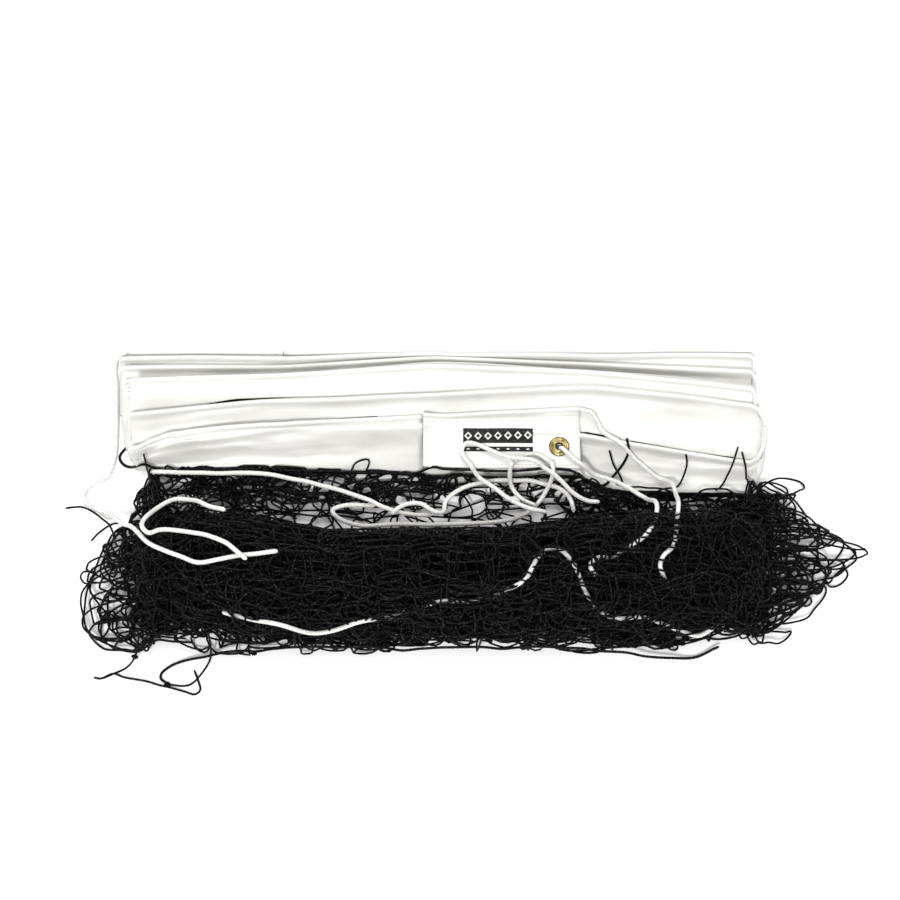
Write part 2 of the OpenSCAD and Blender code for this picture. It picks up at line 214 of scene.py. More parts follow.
def bilinear(z, fx, fy):
    """Values between the points of a grid, at places counted in its steps."""
    fx, fy = np.clip(fx, 0, z.shape[0] - 1.001), np.clip(fy, 0, z.shape[1] - 1.001)
    i, j = fx.astype(int), fy.astype(int)
    u, v = fx - i, fy - j
    low, high = (z[i, k] * (1 - u) + z[i + 1, k] * u for k in (j, j + 1))
    return low * (1 - v) + high * v


class Ripple:
    """Smooth random waves over a plane, about -1 to 1."""

    def __init__(self, seed, size_x, size_y):
        r, count = np.random.default_rng(seed), 9
        self.k = np.stack([r.normal(0, 1, count) / size for size in (size_x, size_y)], 1)
        self.phase = r.uniform(0, 2 * math.pi, count)

    def at(self, x, y):
        x, y = np.asarray(x, float), np.asarray(y, float)
        waves = zip(self.k, self.phase)
        total = sum(np.cos(2 * math.pi * (kx * x + ky * y) + phase) for (kx, ky), phase in waves)
        return total / math.sqrt(len(self.k) * 0.5)


# ------------ materials
def material(name):
    mat = bpy.data.materials.new(name)
    mat.use_nodes = True
    nodes = mat.node_tree.nodes
    return mat, nodes, mat.node_tree.links, nodes["Principled BSDF"]


def noise_node(nodes, links, scale, detail=4, stretch=None):
    where = nodes.new("ShaderNodeTexCoord")
    noise = nodes.new("ShaderNodeTexNoise")
    noise.inputs["Scale"].default_value = scale
    noise.inputs["Detail"].default_value = detail
    if stretch:
        mapping = nodes.new("ShaderNodeMapping")
        mapping.inputs["Scale"].default_value = stretch
        links.new(where.outputs["Object"], mapping.inputs["Vector"])
        links.new(mapping.outputs["Vector"], noise.inputs["Vector"])
    else:
        links.new(where.outputs["Object"], noise.inputs["Vector"])
    return noise


def tint(nodes, links, factor, low, high, low_at=0.35, high_at=0.65):
    ramp = nodes.new("ShaderNodeValToRGB")
    ramp.color_ramp.elements[0].color = (*low, 1)
    ramp.color_ramp.elements[1].color = (*high, 1)
    ramp.color_ramp.elements[0].position = low_at
    ramp.color_ramp.elements[1].position = high_at
    links.new(factor, ramp.inputs["Fac"])
    return ramp.outputs["Color"]


def add_bump(nodes, links, shader, height, strength, distance):
    bump = nodes.new("ShaderNodeBump")
    bump.inputs["Strength"].default_value = strength
    bump.inputs["Distance"].default_value = distance
    links.new(height, bump.inputs["Height"])
    links.new(bump.outputs["Normal"], shader.inputs["Normal"])


def patterned(name, noise, low, high, rough, bump, ends=(0.35, 0.65)):
    """A shader whose colour and bump follow one noise."""
    mat, nodes, links, shader = material(name)
    pattern = noise_node(nodes, links, *noise).outputs["Fac"]
    links.new(tint(nodes, links, pattern, low, high, *ends), shader.inputs["Base Color"])
    shader.inputs["Roughness"].default_value = rough
    if bump:
        add_bump(nodes, links, shader, pattern, *bump)
    return mat, nodes, links, shader, pattern


def vinyl(name, low, high, rough):
    """Coated cloth: a fine grain, soft stains and an even half-gloss."""
    mat, nodes, links, shader, _ = patterned(name, (14, 3, (1, 2.2, 1)), low, high, rough, None)
    grain = noise_node(nodes, links, 900, 2)
    add_bump(nodes, links, shader, grain.outputs["Fac"], 0.12, 0.0003)
    return mat


def twine_material(name, low, high, rough):
    """Braided polyethylene: uneven black with the braid's small shine."""
    noise = (620, 2, (1, 1.6, 1.6))
    mat, nodes, links, shader, braid = patterned(name, noise, low, high, rough, (0.5, 0.0006))
    glint = nodes.new("ShaderNodeMapRange")
    for key, value in (("From Min", 0.56), ("From Max", 0.70), ("To Min", 0.03), ("To Max", 0.5)):
        glint.inputs[key].default_value = value
    links.new(braid, glint.inputs["Value"])
    links.new(glint.outputs["Result"], shader.inputs["Specular IOR Level"])
    return mat


def rope_material(name, low, high):
    """White braid: soft fibres, slightly grey in the grooves."""
    mat, _, _, shader, _ = patterned(name, (520, 3), low, high, 0.7, (0.4, 0.0004))
    shader.inputs["Sheen Weight"].default_value = 0.2
    return mat


def brass_material():
    low, high = (0.11, 0.082, 0.03), (0.40, 0.32, 0.15)
    mat, _, _, shader, _ = patterned("eyelet_brass", (220, 4), low, high, 0.3, (0.15, 0.0003))
    shader.inputs["Metallic"].default_value = 1
    return mat


def print_material():
    """Printed ink on vinyl, a little worn."""
    low, high = (0.012, 0.012, 0.013), (0.05, 0.05, 0.052)
    mat, _, _, shader, _ = patterned("label_ink", (260, 5), low, high, 0.6, None, (0.5, 0.85))
    shader.inputs["Specular IOR Level"].default_value = 0.12
    return mat


def floor_material():
    mat, _, _, shader = material("studio_floor")
    shader.inputs["Base Color"].default_value = (0.93, 0.92, 0.925, 1)
    shader.inputs["Roughness"].default_value = 0.9
    shader.inputs["Specular IOR Level"].default_value = 0.1
    return mat


BAND = vinyl("band_vinyl", (0.565, 0.56, 0.53), (0.635, 0.631, 0.606), 0.5)
# The patch vinyl is a little darker than the band's: painted shade that offsets the extra light on
# the raised patch.
PATCH = vinyl("patch_vinyl", (0.56, 0.556, 0.53), (0.615, 0.611, 0.588), 0.47)
THREAD = rope_material("stitch_thread", (0.48, 0.475, 0.455), (0.58, 0.575, 0.55))
ROPE = rope_material("white_cord", (0.50, 0.49, 0.465), (0.70, 0.69, 0.67))
TWINE = twine_material("net_twine", (0.0015, 0.0015, 0.0016), (0.006, 0.006, 0.0064), 0.4)
BORDER = twine_material("border_cord", (0.002, 0.002, 0.0021), (0.008, 0.008, 0.0085), 0.42)
BRASS = brass_material()
INK = print_material()


# ------------ camera and light
def make_camera():
    aim, distance = Vector((-0.0233, 0.0577, 0.0)), 3.0
    tilt = math.radians(70)
    data = bpy.data.cameras.new("camera")
    data.sensor_width = 36
    data.lens = 113.2
    cam = bpy.data.objects.new("camera", data)
    cam.location = aim + distance * Vector((0, -math.cos(tilt), math.sin(tilt)))
    cam.rotation_euler = (aim - cam.location).to_track_quat("-Z", "Y").to_euler()
    bpy.context.scene.collection.objects.link(cam)
    bpy.context.scene.camera = cam


def add_light(name, kind, power, direction, place=(0, 0, 0)):
    data = bpy.data.lights.new(name, kind)
    data.energy = power
    light = bpy.data.objects.new(name, data)
    light.location = place
    light.rotation_euler = direction.to_track_quat("-Z", "Y").to_euler()
    bpy.context.scene.collection.objects.link(light)
    return data


def make_lights():
    world = bpy.data.worlds.new("studio")
    world.use_nodes = True
    sky = world.node_tree.nodes["Background"].inputs
    sky["Color"].default_value = (1, 0.995, 0.99, 1)
    sky["Strength"].default_value = 1.0
    bpy.context.scene.world = world
    key = add_light("front_key", "SUN", 2.0, -Vector((-0.15, -0.54, 0.83)))
    key.angle = 0.14
    above = Vector((0.1, 0.9, 1.9))
    soft = add_light("top_soft", "AREA", 19, Vector((0, 0.03, 0)) - above, above)
    soft.shape = "RECTANGLE"
    soft.size, soft.size_y = 1.7, 1.1
    bpy.context.scene.view_settings.view_transform = "Standard"
    bpy.context.scene.view_settings.look = "None"


def make_floor():
    far = 12000
    corners = [[-far, -far, 0], [far, -far, 0], [far, far, 0], [-far, far, 0]]
    add_piece("floor", corners, [[0, 1, 2, 3]], floor_material(), smooth=False)


make_camera()
make_lights()
make_floor()


# ------------ folded headband
RUNS = 19
BAND_W = 63.5
HEM_R = 3.3
SEAM_X = -52.0
PATCH_END = 113.0
HOLE_R = 6.5
FAR_PATCH_TOP, FAR_HEM_TOP, FAR_EYELET_TOP = 3.3, 6.8, 5.2
GRID_STEP = 4.0
GRID_X = np.arange(-392.0, 331.0, GRID_STEP)
GRID_Y = np.arange(-20.0, 182.0, 1.0)
STATIONS = [-367, -203, -44, 125, 300]
# Back edge of each pair of runs at the five stations, from the ground up
PAIR_BACK = [
    [169.5, 169.0, 170.0, 169.5, 170.5],
    [159.8, 159.8, 165.0, 163.0, 164.0],
    [146.4, 146.4, 157.5, 152.0, 144.1],
    [128.3, 133.9, 148.6, 140.7, 124.9],
    [121.0, 126.0, 138.0, 131.0, 117.0],
    [115.0, 119.0, 127.0, 122.0, 112.0],
    [108.0, 111.0, 117.0, 114.0, 104.0],
    [119.0, 124.8, 140.0, 131.6, 110.0],
    [81.9, 97.0, 102.0, 110.1, 89.8],
]
UNDER_TOP_BACK = ([-360, -203, -44, 115, 148, 284, 306], [46, 69, 74, 65, 59.2, 39, 38])
UNDER_TOP_FRONT = ([-360, -203, -44, 77, 136, 178, 306], [34, 28, 20, 13.4, 6.6, 0.5, 0])
TOP_BACK = (
    [-354, -346, -320, -299, -257, -203, -130, -44, 30, 113],
    [45, 49, 60, 64, 67.5, 71, 78, 82.9, 86.5, 89.8],
)
TOP_FRONT = ([-354, -330, -300, -60, -40, 113], [33, 30.5, 29.6, 28.4, 25, 24.2])
LEFT_ROOM = ([-390, -355, -320, -250, -200, -100], [36, 34, 32.5, 31.5, 30, 20])


def curve_at(table, x):
    """A smoothed line through a short table."""
    xs, ys = table
    fine = np.linspace(xs[0], xs[-1], 300)
    soft = blur(np.interp(fine, xs, ys), 12)
    return np.interp(x, fine, soft)


def run_edges(n, x):
    """Back and front edges of run n."""
    if n == RUNS - 1:
        return curve_at(TOP_BACK, x), curve_at(TOP_FRONT, x)
    if n == RUNS - 2:
        return curve_at(UNDER_TOP_BACK, x), curve_at(UNDER_TOP_FRONT, x)
    sway = Ripple(300 + n, 420, 1e9).at(x, 0) * 0.7
    back = curve_at((STATIONS, PAIR_BACK[math.ceil(n / 2)]), x) + sway
    back = back - (0.8 if n % 2 else 0)
    return back, np.maximum(back - BAND_W, np.interp(x, *LEFT_ROOM))


def run_ends(n):
    pair = math.ceil(n / 2)
    x0 = -373 + 2.6 * pair
    x1 = 298 - 0.8 * (n // 2)
    if n == 0:
        x0 = -201.0
    if n == RUNS - 1:
        x1 = SEAM_X
    return x0, x1


HEM_STEPS = 0.5 * (1 - np.cos(np.linspace(0, math.pi, 9))) * 2 * HEM_R
ACROSS = np.concatenate([HEM_STEPS, np.linspace(2 * HEM_R + 1.2, BAND_W - 1.2, 24), [BAND_W]])


def thickness(d, flat):
    """Rolled hem round the headline at the back, then two layers of band."""
    roll = 2 * np.sqrt(np.clip(HEM_R**2 - (d - HEM_R) ** 2, 0, None))
    tail = np.where(d > HEM_R, flat, 0)
    edge = np.clip((BAND_W - d) / 1.2, 0, 1) ** 0.5
    return np.maximum(roll, tail * (0.35 + 0.65 * edge))


class Stack:
    """The height of everything that lies under the next run."""

    def __init__(self):
        x, y = GRID_X[:, None], GRID_Y[None]
        self.z = np.zeros((len(GRID_X), len(GRID_Y)))
        self.z[(x < -200) & (y > 104)] = FAR_PATCH_TOP
        self.z[(x < -200) & (y > 164)] = FAR_HEM_TOP
        self.z[np.hypot(x + 345, y - 129) < 12] = FAR_EYELET_TOP

    def at(self, x, y):
        x, y = np.asarray(x, float), np.asarray(y, float)
        return bilinear(self.z, (x - GRID_X[0]) / GRID_STEP, y - GRID_Y[0])

    def rest(self, x, y):
        """The underside of a cloth that rests on the stack: x is (n,), y is (n, m)."""
        grid = self.at(x[:, None], y)
        floor = grid.copy()
        floor[1:] = np.maximum(floor[1:], grid[:-1])
        floor[:-1] = np.maximum(floor[:-1], grid[1:])
        floor[:, 1:] = np.maximum(floor[:, 1:], floor[:, :-1])
        cloth = floor
        for _ in range(26):
            cloth = np.maximum(floor, soften(soften(cloth, 1), 0))
        for _ in range(3):
            cloth = soften(cloth, 0, 0.4)
        return cloth

    def cover(self, x, y, top):
        """Raise the stack to the top of a strip that now lies on it."""
        for i, gx in enumerate(GRID_X):
            if gx < x[0] or gx > x[-1]:
                continue
            k = min(max(int(np.searchsorted(x, gx)), 1), len(x) - 1)
            t = np.clip((gx - x[k - 1]) / (x[k] - x[k - 1]), 0, 1)
            ys = y[k - 1] * (1 - t) + y[k] * t
            zs = top[k - 1] * (1 - t) + top[k] * t
            inside = (GRID_Y <= ys[0]) & (GRID_Y >= ys[-1])
            height = np.interp(GRID_Y[inside], ys[::-1], zs[::-1])
            self.z[i, inside] = np.maximum(self.z[i, inside], height)


def crease(x, y, a, b, width, height):
    """A soft ridge between two points."""
    a, b = np.array(a, float), np.array(b, float)
    d = b - a
    t = ((x - a[0]) * d[0] + (y - a[1]) * d[1]) / d.dot(d)
    c = np.clip(t, 0, 1)
    far = np.hypot(x - a[0] - c * d[0], y - a[1] - c * d[1])
    fade = np.clip(np.minimum(t, 1 - t) * 4 + 0.2, 0, 1)
    return height * fade * np.exp(-((far / width) ** 2))


# Two points, width and height of each crease
UPPER_CREASES = [
    ((-320, 74), (-209, 88), 3.2, 2.6),
    ((-330, 66), (-240, 76), 2.4, 1.8),
    ((-300, 92), (-190, 93), 3.0, 1.4),
    ((-120, 95), (20, 99), 3.0, 1.2),
    ((150, 96), (270, 78), 3.0, 1.8),
    ((190, 70), (290, 66), 2.6, 1.4),
]
TOP_CREASES = [
    ((-346, 42), (-205, 62), 2.6, 3.4),
    ((-344, 38), (-228, 50), 2.4, 3.0),
    ((-340, 36), (-262, 40), 2.0, 2.4),
    ((-300, 58), (-150, 70), 2.8, 2.2),
    ((-230, 44), (-120, 48), 3.5, 1.4),
    ((-120, 66), (-62, 58), 3.5, 1.2),
]
UNDER_TOP_CREASES = [
    ((246, 48), (248, 4), 2.4, 2.2),
    ((279, 42), (281, 2), 2.2, 2.4),
    ((140, 40), (230, 30), 3.0, 1.8),
    ((180, 24), (290, 22), 3.2, 1.6),
    ((130, 54), (200, 46), 2.4, 1.6),
]
# What the top four runs carry, from below
CREASES = [UPPER_CREASES, UPPER_CREASES, UNDER_TOP_CREASES, TOP_CREASES]


def wrinkles(n, x, y, d):
    """How far the cloth of run n stands off what it lies on."""
    broad = Ripple(500 + n, 150, 60).at(x, y)
    fine = Ripple(700 + n, 55, 26).at(x, y)
    w = 0.55 * np.clip(broad + 0.4, 0, None) + 0.4 * np.clip(fine, 0, None)
    if n < RUNS - 4:
        w = 0.3 * w
    strength = 1 if n >= RUNS - 2 else 0.6
    for c in CREASES[n - RUNS] if n >= RUNS - 4 else ():
        w = w + strength * crease(x, y, *c)
    if n == RUNS - 1:
        w = w + 1.1 * np.clip(Ripple(81, 70, 9).at(x, y), 0, None) * np.clip((-x - 90) / 160, 0, 1)
    elif n == RUNS - 2:
        w = w + 0.8 * np.clip(Ripple(83, 60, 12).at(x, y), 0, None) * np.clip((x - 110) / 90, 0, 1)
    return w * np.clip(d / 8, 0.15, 1)


class Strip:
    """One run of the band as it lies: stations along X, points across it."""

    def __init__(self, stack, n, x0, x1, flat, pitch=5.0, least=None):
        self.x = np.linspace(x0, x1, max(3, int((x1 - x0) / pitch) + 1))
        back, front = run_edges(n, self.x)
        share = (back - front) / BAND_W
        hem = np.minimum(ACROSS, 2 * HEM_R)
        tail = (ACROSS - hem) / (BAND_W - 2 * HEM_R)
        tail_w = np.maximum(back - front - 2 * HEM_R, 4)
        self.y = back[:, None] - hem[None] - tail[None] * tail_w[:, None]
        d = np.broadcast_to(ACROSS[None], self.y.shape)
        x = self.x[:, None] + 0 * self.y
        rumple = np.clip(1 - share, 0, 0.6)[:, None]
        pleat = 5.5 * rumple * (1 + np.sin(ACROSS[None] / BAND_W * 4.2 * math.pi + x / 55.0))
        self.bottom = stack.rest(self.x, self.y) + 0.05 + wrinkles(n, x, self.y, d) + pleat
        if least is not None:
            soft = 0.12 * np.clip(self.bottom - least, 0, None)
            flat_part = np.clip((d - 8) / 14, 0, 1)
            self.bottom = self.bottom * (1 - flat_part) + (least + soft) * flat_part
        hem_n = HEM_STEPS.size
        self.bottom[:, :hem_n] = self.bottom[:, :hem_n].max(axis=1)[:, None]
        body = flat * (1 + 0.35 * np.clip(Ripple(900 + n, 90, 40).at(x, self.y), -1, 1))
        self.top = self.bottom + thickness(d, body)
        stack.cover(self.x, self.y, self.top)

    def side(self, upper):
        z = self.top if upper else self.bottom
        return np.stack([self.x[:, None] + 0 * z, self.y, z], axis=-1)

    def hem_line(self):
        mid = HEM_STEPS.size // 2
        return np.stack([self.x, self.y[:, mid], self.bottom[:, mid] + HEM_R], axis=-1)


def turn_rows(low, high, direction, rng, steps=6, least=4.0):
    """Rows of points round a fold, from the lower strip's last row to the upper's."""
    reach = np.maximum(0.5 * np.abs(high - low)[:, 2], least)
    reach = reach + rng.uniform(0, 2.5) * np.sin(np.linspace(0, math.pi, len(low)))
    rows = []
    for k in range(1, steps):
        a = math.pi * k / steps
        row = (low + high) / 2 + (low - high) / 2 * math.cos(a)
        row[:, 0] += direction * reach * math.sin(a)
        rows.append(row)
    return rows


def build_headband(stack):
    """The whole band as one folded ribbon, except the near patch."""
    rng = np.random.default_rng(5)
    strips = []
    for n in range(RUNS):
        pitch = 6.0 if n >= RUNS - 4 else 11.0
        strips.append(Strip(stack, n, *run_ends(n), 1.4, pitch))
    side_a, side_b = [], []
    for n, s in enumerate(strips):
        even = n % 2 == 0
        a, b = s.side(not even), s.side(even)
        if not even:
            a, b = a[::-1], b[::-1]
        side_a.extend(a)
        side_b.extend(b)
        if n == RUNS - 1:
            break
        above = strips[n + 1]
        end, way = (-1, 1) if even else (0, -1)
        outer = turn_rows(s.side(False)[end], above.side(True)[end], way, rng)
        inner = turn_rows(s.side(True)[end], above.side(False)[end], way, rng, least=0.3)
        side_a.extend(outer if even else inner)
        side_b.extend(inner if even else outer)
    a, b = np.array(side_a), np.array(side_b)
    hem = HEM_STEPS.size // 2
    line = (a[:, hem] + b[:, hem]) / 2
    band = ribbon("headband_folds", a, b, BAND)
    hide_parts("headband")
    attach(band, "root")
    return line


def hole_walls(cut, rows, around):
    """Which quads of a strip a hole removes, and the walls round it."""
    keep = np.ones((rows - 1, around), bool)
    walls = []
    for i, q in np.argwhere(cut):
        keep[i, q] = keep[i, around - 2 - q] = False
        ring = [(i, q), (i + 1, q), (i + 1, q + 1), (i, q + 1)]
        beside = [(i, q - 1), (i + 1, q), (i, q + 1), (i - 1, q)]
        for k in range(4):
            if not cut[beside[k]]:
                (r0, q0), (r1, q1) = ring[k], ring[(k + 1) % 4]
                here = [r0 * around + q0, r1 * around + q1]
                beyond = [(r1 + 1) * around - 1 - q1, (r0 + 1) * around - 1 - q0]
                walls.append(here + beyond)
    return keep.ravel(), walls


def ribbon(name, a, b, mat, hole=None):
    """A closed strip from its two sides; hole is a round hole's centre and radius."""
    loop = np.concatenate([a, b[:, ::-1]], axis=1)
    rows, around = loop.shape[:2]
    quads = grid_quads(rows, around)
    q = np.arange(a.shape[1] - 1)
    cap = np.stack([q, q + 1, around - 2 - q, around - 1 - q], axis=1)
    ends = np.concatenate([cap, cap[:, ::-1] + (rows - 1) * around])
    if hole is None:
        return add_piece(name, loop, np.concatenate([quads, ends]), mat)
    centre, radius = hole
    middle = (b[1:, 1:, :2] + b[:-1, 1:, :2] + b[1:, :-1, :2] + b[:-1, :-1, :2]) / 4
    cut = np.hypot(*(middle - centre).transpose(2, 0, 1)) < radius
    keep, walls = hole_walls(cut, rows, around)
    used, faces = np.unique(np.concatenate([quads[keep], ends, walls]), return_inverse=True)
    return add_piece(name, loop.reshape(-1, 3)[used], faces.reshape(-1, 4), mat)


stack = Stack()
headline = build_headband(stack)
patch_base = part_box("end_patch")[0][2] / MM
patch_strip = Strip(stack, RUNS - 1, SEAM_X + 0.3, PATCH_END, 2.2, 3.5, patch_base)


def build_patch():
    a, b = patch_strip.side(False), patch_strip.side(True)
    box = np.array(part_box("eyelet")) / MM
    hole = ((box[0] + box[1])[:2] / 2, HOLE_R)
    patch = ribbon("end_patch_cloth", a, b, PATCH, hole)
    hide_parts("end_patch")
    to_flap(patch)


def to_flap(obj):
    """Bakes the object's transform into its mesh."""
    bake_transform(obj)


def build_headline():
    path = resample(headline, 4.0)
    verts, quads, tris = laid_tube(path, 2.0, 14, sides=8, depth=0.06)
    cord = add_piece("headline_in_hem", verts, quads, ROPE, tris)
    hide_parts("headline_cord")
    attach(cord, "root")


build_patch()
build_headline()


# ------------ netting
TWINE_R = 1.1
LOWEST = TWINE_R + 0.2
BAR = 46.0
NET_H = 108.0
FRONT_EDGE = (
    [-416, -396, -352, -290, 200, 245, 305, 348, 390, 416],
    [-112, -148, -163, -167, -167, -163, -156, -138, -92, -64],
)
BUNDLE_EDGE = (
    [-416, -384, -340, -235, -150, 30, 136, 240, 305, 345, 416],
    [-72, -30, -5, -20, -42, -40, -24, -12, -12, -30, -52],
)
SHARE = (
    [-416, -405, -373, -330, -235, -80, 136, 240, 305, 348, 390, 416],
    [0.1, 0.3, 0.55, 0.78, 0.93, 1, 1, 0.93, 0.72, 0.48, 0.25, 0.1],
)


def heap_edges(x):
    return np.interp(x, *FRONT_EDGE), np.interp(x, *BUNDLE_EDGE)


def heap_top(x, y):
    """Height of the gathered netting's upper surface."""
    front, back = heap_edges(x)
    s = np.abs(2 * (y - front) / (back - front) - 1)
    dome = NET_H * np.interp(x, *SHARE) * (1 - np.clip(s, 0, 1) ** 2.6) ** 0.55
    return np.maximum(dome, 9.0)


def soft_noise(rng, shape, passes):
    """Random values smoothed along the second axis."""
    v = rng.normal(0, 1, shape)
    for _ in range(passes):
        v = soften(v, 1)
    return v / v.std()


def add_bows(k, rng, level, outward=None):
    """Three points between each two knots, so that each bar bows to its real length."""
    a, b = k[:, :-1], k[:, 1:]
    chord = b - a
    c = np.linalg.norm(chord, axis=-1, keepdims=True)
    along = unit(chord)
    slack = 0.34 * np.sqrt(np.clip(BAR**2 - c**2, 9, None))
    d = rng.normal(0, 1, a.shape) * [1, 1, level]
    d = unit(d - along * (d * along).sum(-1, keepdims=True))
    if outward is not None:
        d = np.where(outward[..., None] != 0, unit(outward[..., None] * [1.0, 0, 0] + 0.3 * d), d)
    lean = along * slack * rng.normal(0, 0.25, c.shape)
    out = np.empty((len(k), 4 * a.shape[1] + 1, 3))
    out[:, ::4] = k
    out[:, 1::4] = a + 0.2 * chord + (0.72 * d - 0.3 * along) * slack + 0.6 * lean
    out[:, 2::4] = (a + b) / 2 + d * slack + lean
    out[:, 3::4] = b - 0.2 * chord + (0.72 * d + 0.3 * along) * slack + 0.6 * lean
    return out


def hold_in_heap(p, proud):
    """Keep points on the ground, inside the heap's outline and under its top."""
    x, y, z = np.moveaxis(p, -1, 0)
    front, back = heap_edges(x)
    over = np.clip(y - back, 0, None)
    y = np.where(over > 0, back + proud * np.tanh(over / proud), y)
    under = np.clip(front - y, 0, None)
    y = np.where(under > 0, front - 2.0 * np.tanh(under / 3.0), y)
    top = heap_top(x, y)
    high = np.clip(z - top, 0, None)
    z = np.maximum(np.where(high > 0, top + 3.0 * np.tanh(high / 8.0), z), LOWEST)
    return np.stack([x, y, z], axis=-1)


COLS, ROWS = 17, 16


def gathered_knots(rng):
    """Knots of the folded net as [run, column, row], gathered into a long heap."""
    left = -326 + 11 * soft_noise(rng, (RUNS, ROWS), 1)
    right = 281 + 10 * soft_noise(rng, (RUNS, ROWS), 1)
    u = np.linspace(0, 1, COLS)[None, :, None]
    x = left[:, None] * (1 - u) + right[:, None] * u + 7 * rng.normal(0, 1, (RUNS, COLS, ROWS))
    x[1::2] = x[1::2, ::-1]
    phase = rng.uniform(0, 2, (RUNS, 1, 1))
    row = np.arange(ROWS)[None, None]
    drift, lift = (
        soft_noise(rng, (RUNS * ROWS, COLS), passes).reshape(RUNS, ROWS, COLS).transpose(0, 2, 1)
        for passes in (6, 4)
    )
    t = 0.03 + 0.94 * np.abs((phase + 0.27 * row + 0.18 * drift) % 2 - 1)
    q = (np.arange(RUNS)[:, None, None] + 0.7) / (RUNS - 0.4) + 0.1 * lift
    front, back = heap_edges(x)
    y = front + (back - front) * t
    z = heap_top(x, y) * np.clip(q, 0.02, 1.0)
    return np.stack([x, y, z], axis=-1)


def relax(knots, rounds=24):
    """Pull knots together until no bar is longer than it really is."""
    k = knots.reshape(RUNS * COLS, ROWS, 3)
    for _ in range(rounds):
        for axis in (0, 1):
            d = np.diff(k, axis=axis)
            c = np.linalg.norm(d, axis=-1, keepdims=True)
            pull = 0.42 * d * np.clip(1 - (BAR - 1) / np.maximum(c, 1e-6), 0, None)
            k = k + np.diff(pull, axis=axis, prepend=0, append=0) * 0.9
        k = hold_in_heap(k, 5.0)
    return k


def knot_shape():
    """A small lumpy knot of unit size."""
    g = (1 + 5**0.5) / 2
    v = [(-1, g, 0), (1, g, 0), (-1, -g, 0), (1, -g, 0), (0, -1, g), (0, 1, g)]
    v += [(0, -1, -g), (0, 1, -g), (g, 0, -1), (g, 0, 1), (-g, 0, -1), (-g, 0, 1)]
    f = [(0, 11, 5), (0, 5, 1), (0, 1, 7), (0, 7, 10), (0, 10, 11), (1, 5, 9), (5, 11, 4)]
    f += [(11, 10, 2), (10, 7, 6), (7, 1, 8), (3, 9, 4), (3, 4, 2), (3, 2, 6), (3, 6, 8)]
    f += [(3, 8, 9), (4, 9, 5), (2, 4, 11), (6, 2, 10), (8, 6, 7), (9, 8, 1)]
    return unit(np.array(v, float)), np.array(f)


def add_knots(parts, places, size, rng):
    shape, faces = knot_shape()
    places = places.reshape(-1, 3)
    scale = size * rng.uniform(0.85, 1.2, (len(places), 1, 3)) * [1.25, 1.0, 0.9]
    verts = places[:, None] + shape[None] * scale
    verts[..., 2] = np.maximum(verts[..., 2], 0.1)
    tris = faces[None] + (np.arange(len(places)) * len(shape))[:, None, None]
    parts.add(verts, (), tris)


class TopMap:
    """The netting's real upper surface, for what lies on it."""

    def __init__(self):
        self.x0, self.y0, self.step = -440.0, -225.0, 3.0
        self.z = np.zeros((294, 90))

    def splat(self, points, radius):
        x, y, z = points.reshape(-1, 3).T
        i = np.clip(((x - self.x0) / self.step + 0.5).astype(int), 0, len(self.z) - 1)
        j = np.clip(((y - self.y0) / self.step + 0.5).astype(int), 0, self.z.shape[1] - 1)
        np.maximum.at(self.z, (i, j), z + radius)

    def spread(self):
        """A cord bridges the small gaps between strands."""
        z = self.z
        for axis in (0, 1, 0, 1):
            z = np.maximum(z, np.maximum(np.roll(z, 1, axis), np.roll(z, -1, axis)))
        for axis in (0, 1, 0, 1):
            z = 0.5 * z + 0.25 * (np.roll(z, 1, axis) + np.roll(z, -1, axis))
        self.z = z

    def at(self, x, y):
        return bilinear(self.z, (x - self.x0) / self.step, (y - self.y0) / self.step)


top_map = TopMap()


def net_piece(name, lines, knots, rng, sides=5):
    parts = Parts()
    for group in lines:
        parts.add(*strand_tubes(group, TWINE_R, sides))
        top_map.splat(group, TWINE_R)
    add_knots(parts, knots, 1.75, rng)
    piece = parts.piece(name, TWINE)
    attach(piece, "root")
    return piece


def build_gathered_net():
    """The folded net itself: rows and columns of twine as smooth slack lines."""
    rng = np.random.default_rng(11)
    knots = relax(gathered_knots(rng))
    rows = knots.transpose(1, 0, 2)
    turn = np.zeros((ROWS, RUNS * COLS - 1))
    turn[:, COLS - 1 :: 2 * COLS] = 1
    turn[:, 2 * COLS - 1 :: 2 * COLS] = -1
    rows = add_bows(rows, rng, 0.6, outward=turn)
    cols = add_bows(knots, rng, 0.6)
    pieces = []
    cuts = np.array([0, 4, 8, 11, 13, 15, 17, 19]) * COLS
    for g, (c0, c1) in enumerate(zip(cuts, cuts[1:])):
        last = min(c1, RUNS * COLS - 1)
        per, sides = (2, 4) if g < 3 else (3, 5)
        lines = [rows[:, c0 * 4 : last * 4 + 1], cols[c0:c1]]
        lines = [hold_in_heap(smooth_lines(group, per), 8.0) for group in lines]
        pieces.append(net_piece(f"netting_layers_{g + 1}", lines, knots[c0:c1], rng, sides))
    return pieces


WIDE, NARROW = (36, 12, -14, -46), (36, 25, 14, 3)
SKIRT_SPANS = [
    (-325, 320, 2, WIDE), (-326, -190, 3, WIDE), (-190, -90, 1, WIDE), (100, 320, 4, WIDE),
    (-310, -20, 3, NARROW), (-20, 110, 1, NARROW), (110, 320, 3, NARROW),
]
SKIRT_EDGE = ([-348, -320, -60, -40, 113, 140, 180, 330], [33, 31.5, 29, 25.5, 24.5, 9, 3, 2])
SKIRT_TOP = ([-350, -230, -150, 110, 180, 330], [30, 29, 15, 15, 22, 24])


